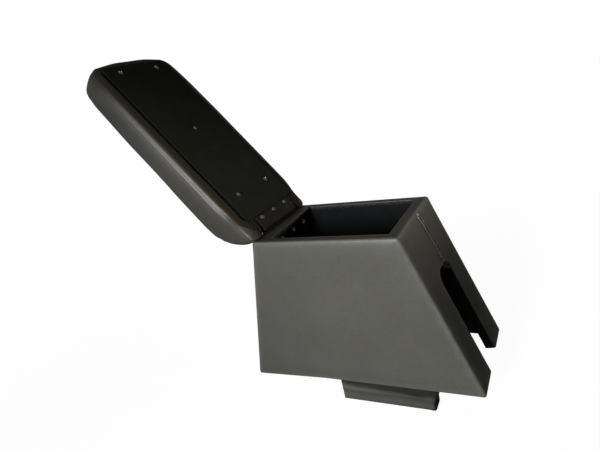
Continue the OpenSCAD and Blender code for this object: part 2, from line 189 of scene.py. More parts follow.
class ArmrestFinish(bpy.types.PropertyGroup):
    """Colours of the armrest's finishes"""

    leatherette: colour_property(
        "Leatherette", "Dark warm grey leatherette", (0.087, 0.086, 0.077))
    felt: colour_property(
        "Felt", "Black felt in the bin", (0.0038, 0.0044, 0.0046))
    panel_felt: colour_property(
        "Panel Felt", "Black felt under the lid", (0.0105, 0.0108, 0.0086))
    thread: colour_property(
        "Thread", "Thread of the front seam", (0.30, 0.29, 0.26))
    # The backing's pale colour stands partly for a painted highlight at the slot's arch
    backing: colour_property(
        "Backing", "Pale cloth on the leatherette's back", (0.8, 0.74, 0.52))
    hinge: colour_property(
        "Hinge", "Dark brown plating of the hinge", (0.036, 0.029, 0.024))
    zinc: colour_property(
        "Zinc", "Zinc plating of the screws", (0.36, 0.35, 0.32))
    board: colour_property(
        "Board", "Fibreboard inside the skirt", (0.055, 0.043, 0.026))


class ArmrestStudio(bpy.types.PropertyGroup):
    """Light and view of the studio"""

    side_light: level_property("Side Light", "Power of the tall softbox beside the camera", 1.85)
    top_light: level_property("Top Light", "Power of the softbox overhead", 0.3)
    back_light: level_property("Back Light", "Power of the strip light behind", 1.1)
    far_light: level_property(
        "Far Light", "Power of the softbox that lights the far side and the rear", 3.2)
    sky: level_property("Sky", "Strength of the light from all round", 0.035)
    backdrop: level_property("Backdrop", "Brightness of the white background", 1.0)
    mirrored: FloatProperty(
        name="Mirrored Backdrop", description="Share of the backdrop that gloss and glass show",
        default=0.15, min=0, max=1)
    floor: colour_property(
        "Floor", "Colour that the floor throws back on the object", (0.09, 0.09, 0.09))
    lens: FloatProperty(
        name="Lens", description="Focal length on a 36 mm sensor, in millimetres",
        default=29.0, min=10)


def shape():
    return bpy.context.scene.armrest_shape


def finish():
    return bpy.context.scene.armrest_finish


# Materials

def new_material(name):
    """A material with its nodes, its links and its surface shader."""
    material = bpy.data.materials.new(name)
    material.use_nodes = True
    tree = material.node_tree
    return material, tree.nodes, tree.links, tree.nodes["Principled BSDF"]


def object_point(nodes):
    return nodes.new("ShaderNodeTexCoord").outputs["Object"]


def noise_at(nodes, links, point, scale, detail, rough):
    texture = nodes.new("ShaderNodeTexNoise")
    texture.inputs["Scale"].default_value = scale
    texture.inputs["Detail"].default_value = detail
    texture.inputs["Roughness"].default_value = rough
    links.new(point, texture.inputs["Vector"])
    return texture.outputs["Fac"]


def ramp(nodes, links, value, stops):
    """A colour ramp through stops of place and colour."""
    ramp_node = nodes.new("ShaderNodeValToRGB")
    elements = ramp_node.color_ramp.elements
    while len(elements) < len(stops):
        elements.new(0.5)
    for element, (place, colour) in zip(elements, stops):
        element.position = place
        element.color = (*colour, 1)
    links.new(value, ramp_node.inputs["Fac"])
    return ramp_node.outputs["Color"]


def spread(nodes, links, value, low, high, low_to, high_to):
    """Maps low to high onto low_to to high_to."""
    node = nodes.new("ShaderNodeMapRange")
    for name, number in (("From Min", low), ("From Max", high),
                         ("To Min", low_to), ("To Max", high_to)):
        node.inputs[name].default_value = number
    links.new(value, node.inputs["Value"])
    return node.outputs["Result"]


def bump(nodes, links, height, distance, strength, under=None):
    node = nodes.new("ShaderNodeBump")
    node.inputs["Distance"].default_value = distance
    node.inputs["Strength"].default_value = strength
    links.new(height, node.inputs["Height"])
    if under is not None:
        links.new(under, node.inputs["Normal"])
    return node.outputs["Normal"]


def mixed(nodes, links, amount, first, second):
    """Blends two colours, each a socket or a plain colour."""
    node = nodes.new("ShaderNodeMix")
    node.data_type = "RGBA"
    if isinstance(amount, float):
        node.inputs["Factor"].default_value = amount
    else:
        links.new(amount, node.inputs["Factor"])
    for value, socket in ((first, node.inputs[6]), (second, node.inputs[7])):
        if isinstance(value, (tuple, list)):
            socket.default_value = (*value, 1)
        else:
            links.new(value, socket)
    return node.outputs[2]


def maths(nodes, links, operation, *values, clamp=False):
    """A sum over values that are sockets or numbers."""
    node = nodes.new("ShaderNodeMath")
    node.operation = operation
    node.use_clamp = clamp
    for value, socket in zip(values, node.inputs):
        if isinstance(value, (int, float)):
            socket.default_value = value
        else:
            links.new(value, socket)
    return node.outputs[0]


def either(nodes, links, share, first, second):
    """The first shader where share is 0, the second where it is 1."""
    node = nodes.new("ShaderNodeMixShader")
    for value, socket in zip((share, first, second), node.inputs):
        links.new(value, socket)
    return node.outputs[0]


def painted(nodes, name):
    """The values that a mesh carries on its points under this name."""
    node = nodes.new("ShaderNodeAttribute")
    node.attribute_name = name
    return node.outputs["Fac"]


def shade(colour, factor):
    """The colour made lighter or darker."""
    return tuple(min(1.0, c * factor) for c in colour)


def leatherette_material():
    """Fine pebbled leatherette with slow tonal changes, lighter along its edges as part wear and
    part painted highlight, with painted shade and painted warm shade where the mesh asks.
    """
    material, nodes, links, shader = new_material("grey leatherette")
    base = tuple(finish().leatherette)
    point = object_point(nodes)
    cloudy = noise_at(nodes, links, point, 14, 3, 0.55)
    colour = ramp(nodes, links, cloudy, [(0.32, shade(base, 0.92)), (0.68, shade(base, 1.08))])
    mottle = noise_at(nodes, links, point, 620, 2, 0.6)
    speckled = ramp(nodes, links, mottle, [(0.35, shade(base, 0.82)), (0.65, shade(base, 1.2))])
    colour = mixed(nodes, links, 0.35, colour, speckled)
    # Edges painted lighter: part real wear, part painted highlight
    rub_and_highlight = maths(nodes, links, "MULTIPLY", painted(nodes, "worn"),
                noise_at(nodes, links, point, 90, 3, 0.6))
    colour = mixed(nodes, links, rub_and_highlight, colour, shade(base, 2.0))
    # Painted warm shade: browner and darker where less light falls
    warm_shade = tuple(share * c for share, c in zip((0.30, 0.24, 0.15), base))
    colour = mixed(nodes, links, painted(nodes, "aged"), colour, warm_shade)
    # Painted shade, darker and rougher, in folds, joints and under overhangs
    crease = painted(nodes, "crease")
    colour = mixed(nodes, links, crease, colour, shade(base, 0.12))
    links.new(colour, shader.inputs["Base Color"])
    satin = spread(nodes, links, cloudy, 0.3, 0.7, 0.35, 0.41)
    links.new(maths(nodes, links, "MULTIPLY_ADD", crease, 0.35, satin),
              shader.inputs["Roughness"])
    shader.inputs["Specular IOR Level"].default_value = 0.25
    pebble = nodes.new("ShaderNodeTexVoronoi")
    pebble.feature = "SMOOTH_F1"
    pebble.inputs["Scale"].default_value = 1250
    pebble.inputs["Smoothness"].default_value = 0.35
    links.new(point, pebble.inputs["Vector"])
    slow = bump(nodes, links, noise_at(nodes, links, point, 38, 2, 0.45), 0.0010, 0.10)
    fine = bump(nodes, links, mottle, 0.0001, 0.2, slow)
    links.new(bump(nodes, links, pebble.outputs["Distance"], 0.00012, 0.38, fine),
              shader.inputs["Normal"])
    return material


def felt_material(name, base, tint):
    """Needled felt: a matt pile, stray lighter fibres shown as painted glints where the mesh asks
    for them, and a faint sheen.
    """
    material, nodes, links, shader = new_material(name)
    point = object_point(nodes)
    pile = noise_at(nodes, links, point, 950, 4, 0.7)
    patch = noise_at(nodes, links, point, 45, 3, 0.6)
    colour = ramp(nodes, links, pile, [(0.3, shade(base, 0.55)), (0.62, shade(base, 1.25)),
                                       (0.8, shade(base, 3.0))])
    colour = mixed(nodes, links, spread(nodes, links, patch, 0.35, 0.7, 0.0, 0.5), colour,
                   shade(base, 1.7))
    # Stray lighter fibres, shown only where the mesh asks for painted glints
    stray = spread(nodes, links, noise_at(nodes, links, point, 520, 3, 0.7),
                   0.42, 0.66, 0.15, 1)
    glint_share = maths(nodes, links, "MULTIPLY", painted(nodes, "fuzz"), stray)
    colour = mixed(nodes, links, glint_share, colour, shade(tint, 0.13))
    links.new(colour, shader.inputs["Base Color"])
    shader.inputs["Roughness"].default_value = 0.95
    shader.inputs["Specular IOR Level"].default_value = 0.08
    shader.inputs["Sheen Weight"].default_value = 0.04
    shader.inputs["Sheen Roughness"].default_value = 0.45
    shader.inputs["Sheen Tint"].default_value = (*tint, 1)
    slow = bump(nodes, links, patch, 0.0008, 0.35)
    links.new(bump(nodes, links, pile, 0.0004, 0.7, slow), shader.inputs["Normal"])
    return material


def plated_material(name, base, rough, metal, scale, depth):
    """Plated steel with scratches of one scale and depth, small pits and handling marks."""
    material, nodes, links, shader = new_material(name)
    point = object_point(nodes)
    long_way = nodes.new("ShaderNodeMapping")
    long_way.inputs["Scale"].default_value = (1.0, 0.06, 1.0)
    links.new(point, long_way.inputs["Vector"])
    scratch = noise_at(nodes, links, long_way.outputs["Vector"], scale, 4, 0.65)
    cloud = noise_at(nodes, links, point, 160, 4, 0.65)
    colour = ramp(nodes, links, cloud, [(0.3, shade(base, 0.7)), (0.55, base),
                                        (0.78, shade(base, 1.6))])
    links.new(colour, shader.inputs["Base Color"])
    shader.inputs["Metallic"].default_value = metal
    links.new(spread(nodes, links, scratch, 0.3, 0.7, rough - 0.08, rough + 0.14),
              shader.inputs["Roughness"])
    coarse = bump(nodes, links, cloud, 0.0001, 0.25)
    links.new(bump(nodes, links, scratch, 0.00005, depth, coarse), shader.inputs["Normal"])
    return material


def board_material():
    """Dark fibreboard with short fibres and dust."""
    material, nodes, links, shader = new_material("dark fibreboard")
    base = tuple(finish().board)
    point = object_point(nodes)
    fibre = noise_at(nodes, links, point, 700, 4, 0.7)
    patch = noise_at(nodes, links, point, 22, 3, 0.6)
    colour = ramp(nodes, links, fibre, [(0.3, shade(base, 0.6)), (0.6, base),
                                        (0.8, shade(base, 2.0))])
    colour = mixed(nodes, links, spread(nodes, links, patch, 0.4, 0.7, 0.0, 0.45), colour,
                   shade(base, 0.55))
    links.new(colour, shader.inputs["Base Color"])
    links.new(spread(nodes, links, fibre, 0.3, 0.7, 0.72, 0.9), shader.inputs["Roughness"])
    links.new(bump(nodes, links, fibre, 0.0002, 0.5), shader.inputs["Normal"])
    return material


def thread_material():
    """Twisted sewing thread."""
    material, nodes, links, shader = new_material("seam thread")
    base = tuple(finish().thread)
    point = object_point(nodes)
    twist = noise_at(nodes, links, point, 2600, 2, 0.5)
    links.new(ramp(nodes, links, twist, [(0.35, shade(base, 0.7)), (0.65, shade(base, 1.25))]),
              shader.inputs["Base Color"])
    shader.inputs["Roughness"].default_value = 0.6
    links.new(bump(nodes, links, twist, 0.0001, 0.6), shader.inputs["Normal"])
    return material


def backing_material():
    """Pale knitted backing of the leatherette, frayed and soiled in places, its paleness partly a
    painted highlight
    """
    material, nodes, links, shader = new_material("backing cloth")
    base = tuple(finish().backing)
    point = object_point(nodes)
    knit = nodes.new("ShaderNodeTexWave")
    knit.inputs["Scale"].default_value = 420
    knit.inputs["Distortion"].default_value = 2.0
    links.new(point, knit.inputs["Vector"])
    stain = noise_at(nodes, links, point, 260, 3, 0.6)
    colour = ramp(nodes, links, stain, [(0.38, shade(base, 0.3)), (0.56, base)])
    colour = mixed(nodes, links, spread(nodes, links, knit.outputs["Fac"], 0, 1, 0, 0.4), colour,
                   shade(base, 0.6))
    links.new(colour, shader.inputs["Base Color"])
    shader.inputs["Roughness"].default_value = 0.85
    links.new(bump(nodes, links, knit.outputs["Fac"], 0.0002, 0.5), shader.inputs["Normal"])
    return material


def material_named(name):
    makers = {
        "grey leatherette": leatherette_material,
        "bin felt": lambda: felt_material("bin felt", tuple(finish().felt), (0.72, 0.86, 1.0)),
        "panel felt": lambda: felt_material(
            "panel felt", tuple(finish().panel_felt), (1.0, 1.0, 0.85)),
        "dark hinge plating": lambda: plated_material(
            "dark hinge plating", tuple(finish().hinge), 0.42, 0.75, 500, 0.4),
        "zinc plating": lambda: plated_material(
            "zinc plating", tuple(finish().zinc), 0.19, 0.95, 900, 0.3),
        "dark fibreboard": board_material,
        "seam thread": thread_material,
        "backing cloth": backing_material,
    }
    return bpy.data.materials.get(name) or makers[name]()


def paint_node(node, name):
    """Gives a CAD part its finish."""
    mesh = frame["nodes"][node].data
    mesh.materials.clear()
    mesh.materials.append(material_named(name))


# Mesh helpers

def merged_copy(*nodes):
    """One bmesh with copies of CAD nodes, their loose triangles joined."""
    bm = bmesh.new()
    for node in nodes:
        bm.from_mesh(frame["nodes"][node].data)
    bmesh.ops.remove_doubles(bm, verts=bm.verts[:], dist=2e-6)
    return bm


def join_flats(bm):
    """Joins the triangles of each flat face."""
    bmesh.ops.dissolve_limit(bm, angle_limit=math.radians(0.4), verts=bm.verts[:],
                             edges=bm.edges[:])


def round_edges(bm, edges, radius, segments):
    bmesh.ops.bevel(bm, geom=edges, offset=radius, offset_type="OFFSET", segments=segments,
                    profile=0.5, affect="EDGES", clamp_overlap=False, loop_slide=True, material=-1)


def sharp_edges(bm, wanted, shortest=0.0008, angle=20):
    """The sharp outward edges that wanted(first end, second end) accepts."""
    found = []
    for edge in bm.edges:
        if len(edge.link_faces) != 2 or edge.calc_length() < shortest:
            continue
        if edge.calc_face_angle(0) > math.radians(angle) and edge.is_convex:
            if wanted(edge.verts[0].co, edge.verts[1].co):
                found.append(edge)
    return found


def slice_skin(bm, step, low, high):
    """Cuts the mesh along evenly spaced planes, so that it can bend everywhere."""
    for axis in range(3):
        across = Vector([1.0 if k == axis else 0.0 for k in range(3)])
        count = max(1, round((high[axis] - low[axis]) / step))
        for k in range(1, count):
            place = across * (low[axis] + (high[axis] - low[axis]) * (k + 0.013) / count)
            bmesh.ops.bisect_plane(bm, geom=bm.verts[:] + bm.edges[:] + bm.faces[:], dist=1e-6,
                                   plane_co=place, plane_no=across)


def to_object(bm, name, body, material, replaced=(), sharp=38):
    """Makes a finished piece of the mesh, riding on its body."""
    mesh = bpy.data.meshes.new(name)
    bm.to_mesh(mesh)
    bm.free()
    for polygon in mesh.polygons:
        polygon.use_smooth = True
    mesh.set_sharp_from_angle(angle=math.radians(sharp))
    mesh.materials.append(material_named(material))
    piece = bpy.data.objects.new(name, mesh)
    bpy.context.scene.collection.objects.link(piece)
    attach(piece, body)
    if replaced:
        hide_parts(*replaced)
    return piece


def layers(bm, *names):
    """New values on the points, under the names that the materials read."""
    return [bm.verts.layers.float.new(name) for name in names]


def move_all(moves):
    for vert, move in moves:
        vert.co += move


def relax(bm, verts, factor):
    """Draws points towards the middle of their neighbours."""
    bmesh.ops.smooth_vert(bm, verts=verts, factor=factor, use_axis_x=True, use_axis_y=True,
                          use_axis_z=True)


def near(distance, reach):
    """1 at no distance, falling in a bell curve to nothing beyond the reach."""
    return math.exp(-(distance / reach) ** 2)


def smooth_step(share):
    """Eases from 0 to 1 as share goes from 0 to 1."""
    share = min(1.0, max(0.0, share))
    return share * share * (3 - 2 * share)


def front_rim_x():
    """Where the sloping front meets the rim."""
    return BOX_HIGH.x - (RIM - LEVEL) * math.tan(shape().front_slope)


def rear_rim_x():
    """Where the leaning rear meets the rim."""
    return BOX_LOW.x + (RIM - BOX_LOW.z) * math.tan(shape().back_lean)


def front_way():
    """The outward direction of the sloping front."""
    slope = shape().front_slope
    return Vector((math.cos(slope), 0, math.sin(slope)))


def box_gaps(p):
    """How far a point lies outside each face of the box, with that face's direction."""
    slope, lean = shape().front_slope, shape().back_lean
    fall = (LEVEL - BOX_LOW.z) * min(1.0, max(0.0, (BOX_LOW.x + HEEL_RUN - p.x) / HEEL_RUN))
    return [
        (abs(p.y) - HALF_WIDTH, Vector((0, math.copysign(1, p.y), 0))),
        (p.z - RIM, Vector((0, 0, 1))),
        ((p.x - front_rim_x()) * math.cos(slope) + (p.z - RIM) * math.sin(slope),
         front_way()),
        ((rear_rim_x() - p.x) * math.cos(lean) + (p.z - RIM) * math.sin(lean),
         Vector((-math.cos(lean), 0, math.sin(lean)))),
        (LEVEL - fall - p.z, Vector((0, 0, -1))),
    ]


def padding(p, edge):
    """How far the thin padding lifts the leatherette, by the distance to the nearest edge."""
    s = shape()
    wave = s.ripple * noise.noise(p * 22) * (1 - near(edge, 0.01))
    return s.puff * (1 - near(edge, s.puff_reach)) + wave


def seam_y(down):
    """Sideways place of the front seam, by the distance from the rim."""
    s = shape()
    return s.seam_top + (s.seam_bottom - s.seam_top) * down / s.slot_top


def slot_gap(p):
    """Distance outside the front slot's outline, seen square to the front face."""
    s = shape()
    down = ((p.x - front_rim_x()) * math.sin(s.front_slope)
            - (p.z - RIM) * math.cos(s.front_slope))
    side = abs(p.y - s.slot_middle) - (s.slot_half - s.slot_round)
    above = s.slot_top + s.slot_round - down
    return math.hypot(max(side, 0), max(above, 0)) + min(max(side, above), 0) - s.slot_round


def front_point(down, y, out=0.0):
    """A point on the sloping front, by its distance from the rim and its sideways place."""
    slope = shape().front_slope
    return Vector((front_rim_x() + down * math.sin(slope) + out * math.cos(slope), y,
                   RIM - down * math.cos(slope) + out * math.sin(slope)))


# Pieces

class ARMREST_OT_box_leatherette(bpy.types.Operator):
    """Covers the box in leatherette with soft edges, a folded rim and a hem"""

    bl_idname = "armrest.box_leatherette"
    bl_label = "Box Leatherette"

    def execute(self, context):
        s = shape()
        rim_narrowest = 0.006
        slot_starts_x = 0.03
        hem_up = 0.009
        bm = merged_copy("box_cover")
        join_flats(bm)

        def outer(p):
            return max(gap for gap, way in box_gaps(p)) > -ON_FACE

        def at_mouth(p):
            gaps = sorted(gap for gap, way in box_gaps(p))
            return abs(p.z - RIM) < ON_FACE and gaps[-2] < -rim_narrowest

        round_edges(bm, sharp_edges(bm, lambda a, b: outer(a) and outer(b) and not (
            at_mouth(a) and at_mouth(b))), s.edge_radius, 5)
        round_edges(bm, sharp_edges(bm, lambda a, b: at_mouth(a) and at_mouth(b)),
                    s.mouth_radius, 3)
        slice_skin(bm, s.skin_cell, BOX_LOW, BOX_HIGH)
        bm.normal_update()
        worn, crease, aged = layers(bm, "worn", "crease", "aged")
        moves = []
        for vert in bm.verts:
            p = vert.co
            gaps = sorted(box_gaps(p), key=lambda g: g[0])
            face_gap, face_way = gaps[-1]
            # Painted shadow on the slot's jambs, with the leatherette drawn tight round them
            if (p.x > slot_starts_x and abs(slot_gap(p)) < 0.0012
                    and vert.normal.dot(front_way()) < 0.5):
                vert[crease] = 1.0
            # The skin's inner side stays where it is
            if face_gap < -0.002 or vert.normal.dot(face_way) < 0.2:
                continue
            edge = -gaps[-2][0]
            if face_way.x > 0.5:
                edge = min(edge, abs(slot_gap(p)))
            # Edges painted lighter, part wear and part painted highlight
            vert[worn] = near(edge, 0.0035)
            # The rim falls outwards and gets painted warm shade, and the other faces are padded
            if face_way.z > 0.9:
                push = -s.rim_fall * near(edge, 0.0042)
                vert[aged] = 0.9 * smooth_step((edge - 0.0004) / 0.003)
                vert[worn] *= 0.4
            else:
                push = padding(p, edge)
                # The rear lies flat under the hinge's leaf
                if face_way.x < -0.5:
                    push *= smooth_step((RIM - 0.024 - p.z) / 0.02)
            # The turned hem shows as a faint ridge above the lower edge of each side
            if face_way.y and gaps[-2][1].z < -0.5:
                push += 0.00035 * near(-gaps[-2][0] - hem_up, 0.003)
            # Small gathers fan out round the rim's four corners
            at_front = p.x > (rear_rim_x() + BOX_HIGH.x) / 3
            along = p.x - (front_rim_x() if at_front else rear_rim_x())
            across = abs(p.y) - HALF_WIDTH
            corner = near(math.hypot(along, across), 0.011) * near(RIM - p.z, 0.006)
            push += s.corner_gather * corner * math.sin(16 * math.atan2(across, along) + p.y * 30)
            moves.append((vert, vert.normal * push))
        move_all(moves)
        to_object(bm, "box_leatherette", "box", "grey leatherette", ["box_cover"])
        return {"FINISHED"}


class ARMREST_OT_front_seam(bpy.types.Operator):
    """Sews the double seam down the sloping front, from the rim to the slot"""

    bl_idname = "armrest.front_seam"
    bl_label = "Front Seam"

    def execute(self, context):
        s = shape()
        margin = 0.0022
        top, bottom = 0.0030, s.slot_top - margin
        half = s.seam_width / 2
        out = front_way()

        def surface(down, y):
            p = front_point(down, y)
            edge = min(down, s.slot_top - down)
            return p + out * padding(p, edge)

        bm = bmesh.new()
        bmesh.ops.create_grid(bm, x_segments=110, y_segments=22, size=1)
        for vert in bm.verts:
            down = top + (bottom - top) * (vert.co.x + 1) / 2
            across = vert.co.y * (half + margin)
            row = max(near(across - half, 0.0008), near(across + half, 0.0008))
            middle = 0.3 * (1 if abs(across) < half else near(abs(across) - half, 0.0009))
            dip = 0.75 + 0.25 * math.cos(2 * math.pi * down / s.stitch_pitch)
            rise = s.seam_height * max(row * dip, middle)
            rise *= min(1.0, (1 - abs(vert.co.x)) * 18 + 0.15)
            vert.co = surface(down, seam_y(down) + across) + out * (rise + 0.0001)
        walls = bmesh.ops.extrude_face_region(bm, geom=bm.faces[:])
        for item in walls["geom"]:
            if isinstance(item, bmesh.types.BMVert):
                item.co -= out * 0.0009
        bmesh.ops.recalc_face_normals(bm, faces=bm.faces[:])
        # The whole seam is painted lighter, part wear and part painted highlight
        worn, = layers(bm, "worn")
        for vert in bm.verts:
            vert[worn] = 0.8
        to_object(bm, "front_seam", "box", "grey leatherette", sharp=60)

        bm = bmesh.new()
        count = int((bottom - top - 0.002) / s.stitch_pitch)
        along = (surface(bottom, s.seam_bottom) - surface(top, s.seam_top)).normalized()
        turn = Matrix((along, out.cross(along), out)).transposed().to_4x4()
        size = Matrix.Diagonal((s.stitch_pitch * 0.36, 0.00036, 0.00030, 1))
        for row in (-1, 1):
            for k in range(count):
                down = top + 0.0012 + (k + 0.5) * s.stitch_pitch
                place = surface(down, seam_y(down) + row * half) + out * s.seam_height * 0.9
                bmesh.ops.create_icosphere(bm, subdivisions=2, radius=1,
                                           matrix=Matrix.Translation(place) @ turn @ size)
        knot = surface(top + 0.0004, seam_y(top) + half) + out * s.seam_height
        knot_shape = Matrix.Translation(knot) @ Matrix.Diagonal((1.2, 1, 0.8, 1))
        bmesh.ops.create_icosphere(bm, subdivisions=3, radius=0.0011, matrix=knot_shape)
        to_object(bm, "seam_stitches", "box", "seam thread", sharp=60)
        return {"FINISHED"}


class ARMREST_OT_turned_edge(bpy.types.Operator):
    """Shows a scrap of pale backing where the leatherette turns into the slot, its paleness partly
    a painted highlight of light caught at the slot's arch
    """

    bl_idname = "armrest.turned_edge"
    bl_label = "Turned Edge"

    def execute(self, context):
        s = shape()
        bm = bmesh.new()
        bmesh.ops.create_grid(bm, x_segments=16, y_segments=8, size=1)
        for vert in bm.verts:
            along, deep = (vert.co.x + 1) / 2, (vert.co.y + 1) / 2
            # The scrap lies round the far top corner of the slot, from 8 to 58 degrees
            turn = math.radians(8 + 50 * along)
            ragged = 0.0009 * noise.noise(Vector((along * 5, deep * 3, 2)))
            radius = s.slot_round - 0.0004 - 0.0004 * math.sin(math.pi * deep)
            middle = s.slot_middle + s.slot_half - s.slot_round
            down = s.slot_top + s.slot_round - radius * math.sin(turn)
            depth = -0.0022 - 0.0062 * deep * (0.55 + 0.45 * math.sin(math.pi * along)) + ragged
            vert.co = front_point(down, middle + radius * math.cos(turn), depth)
        bmesh.ops.recalc_face_normals(bm, faces=bm.faces[:])
        bmesh.ops.solidify(bm, geom=bm.faces[:], thickness=0.0003)
        bmesh.ops.recalc_face_normals(bm, faces=bm.faces[:])
        to_object(bm, "turned_edge", "box", "backing cloth", sharp=60)
        return {"FINISHED"}


class ARMREST_OT_bin_felt(bpy.types.Operator):
    """Lines the bin with felt"""

    bl_idname = "armrest.bin_felt"
    bl_label = "Bin Felt"

    def execute(self, context):
        s = shape()
        for node, name in (("wall_lining", "wall_felt"), ("floor_lining", "floor_felt")):
            bm = merged_copy(node)
            join_flats(bm)
            low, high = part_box(node)
            slice_skin(bm, 0.0045, low, high)
            bm.normal_update()
            moves = []
            fuzz, = layers(bm, "fuzz")
            for vert in bm.verts:
                pile = noise.noise(vert.co * 160) + 0.6 * noise.noise(vert.co * 420)
                deep = high.z - vert.co.z
                top = 0.0
                if name == "wall_felt":
                    top = near(deep, 0.0014) * 0.0003
                    # Painted glints along the felt's top edge, and painted light fading down the
                    # wall
                    vert[fuzz] = 0.5 * near(deep, 0.0024) + 0.04 * near(deep, 0.02)
                moves.append((vert, vert.normal * (s.felt_pile * pile - top)))
            move_all(moves)
            to_object(bm, name, "box", "bin felt", [node], sharp=50)
        return {"FINISHED"}


class ARMREST_OT_side_feet(bpy.types.Operator):
    """Wraps both side feet in leatherette"""

    bl_idname = "armrest.side_feet"
    bl_label = "Side Feet"

    def execute(self, context):
        for side in ("right", "left"):
            node = side + "_foot_cover"
            bm = merged_copy(node)
            join_flats(bm)
            low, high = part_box(node)
            middle = (low + high) / 2
            half = (high - low) / 2

            def face_gaps(p):
                return [abs(p.x - middle.x) - half.x, abs(p.y - middle.y) - half.y, low.z - p.z]

            def outer(a, b):
                return (min(max(face_gaps(a)), max(face_gaps(b))) > -ON_FACE
                        and min(a.z, b.z) < high.z - 0.001)

            round_edges(bm, sharp_edges(bm, outer), 0.0032, 5)
            slice_skin(bm, 0.0028, low, high)
            bm.normal_update()
            worn, crease = layers(bm, "worn", "crease")
            moves = []
            for vert in bm.verts:
                p = vert.co
                gaps = sorted(face_gaps(p))
                if gaps[-1] < -0.0021 or vert.normal.dot(p - middle) <= 0:
                    continue
                edge = -gaps[-2]
                # Edges painted lighter, part wear and part painted highlight
                vert[worn] = near(edge, 0.003)
                # Folds run along the foot at set depths below the skirt, and sway a little
                below = high.z - p.z
                sway = 0.0018 * noise.noise(Vector((p.x * 28, 3, 0)))
                push = -0.0005 * near(edge, 0.006)
                push += 0.0009 * near(below - 0.0095 + sway, 0.0045) * (1 - near(edge, 0.008))
                push -= 0.0006 * near(below - 0.017 + 2 * sway, 0.004)
                push += 0.0004 * noise.noise(Vector((p.x * 30, p.y * 60, p.z * 90)))
                push -= 0.0013 * near(below, 0.0065)
                # Painted shade under the skirt, in the fold, along the sole, towards the front and
                # at the front end
                toward = smooth_step((p.x - low.x) / (high.x - low.x))
                dark = 0.0062 + 0.0036 * toward - 2 * abs(sway)
                vert[crease] = min(1.0, near(max(0.0, below - dark), 0.0034)
                                   + 0.4 * near(below - 0.018 + 2 * sway, 0.003)
                                   + 0.35 * near(p.z - 0.001, 0.0035)
                                   + 0.22 * toward
                                   + 0.7 * smooth_step((p.x - high.x + 0.004) / 0.003))
                # A painted highlight on the band below the skirt's shadow, towards the rear
                vert[worn] = max(vert[worn], 0.9 * (1 - toward) * near(below - 0.0125, 0.0028))
                move = vert.normal * push
                # The covering flares out at the front end and draws in at the rear top
                if p.x > high.x - 0.006:
                    flare = smooth_step((0.022 - below) / 0.018)
                    move = Vector((0.0048 * flare * smooth_step((p.x - high.x + 0.006) / 0.005),
                                   move.y * 0.5, 0))
                if p.x < middle.x - half.x + 0.004:
                    move.x -= 0.003 * max(0.0, (p.z - high.z + 0.011) / 0.011) ** 2
                moves.append((vert, move))
            move_all(moves)
            to_object(bm, side + "_foot_leatherette", "box", "grey leatherette",
                      [node])
        return {"FINISHED"}


def swollen(piece, held, pressure, cap_at, steps):
    """Swells a closed mesh as cloth under pressure, with each point's move capped."""
    scene = bpy.context.scene
    rest = [vert.co.copy() for vert in piece.data.vertices]
    group = piece.vertex_groups.new(name="held")
    group.add(held, 1.0, "REPLACE")
    cloth = piece.modifiers.new("swell", "CLOTH")
    settings = cloth.settings
    settings.quality = 6
    settings.mass = 0.3
    settings.tension_stiffness = 12
    settings.compression_stiffness = 12
    settings.bending_stiffness = 0.4
    settings.use_pressure = True
    settings.uniform_pressure_force = pressure
    settings.effector_weights.gravity = 0
    settings.vertex_group_mass = "held"
    cloth.point_cache.frame_start = 1
    cloth.point_cache.frame_end = steps
    for step in range(1, steps + 1):
        scene.frame_set(step)
    done = piece.evaluated_get(bpy.context.evaluated_depsgraph_get()).data
    after = [vert.co.copy() for vert in done.vertices]
    piece.modifiers.remove(cloth)
    scene.frame_set(1)
    for vert, a, b in zip(piece.data.vertices, rest, after):
        move = b - a
        cap = cap_at(a)
        if move.length > cap:
            move *= cap / move.length
        vert.co = a + move


def evened(bm, passes, share_at):
    """Evens points out by their neighbours before and behind them along the lid."""
    rows = []
    for vert in bm.verts:
        ends = [e.other_vert(vert) for e in vert.link_edges]
        ends = [o for o in ends if abs(o.co.x - vert.co.x) > 0.8 * (o.co - vert.co).length]
        share = share_at(vert.co)
        if len(ends) == 2 and share > 0:
            rows.append((vert, ends[0], ends[1], share))
    for turn in range(passes):
        moved = [(v, (a.co + b.co) / 2, share) for v, a, b, share in rows]
        for v, middle, share in moved:
            v.co.y += share * (middle.y - v.co.y)
            v.co.z += share * (middle.z - v.co.z)


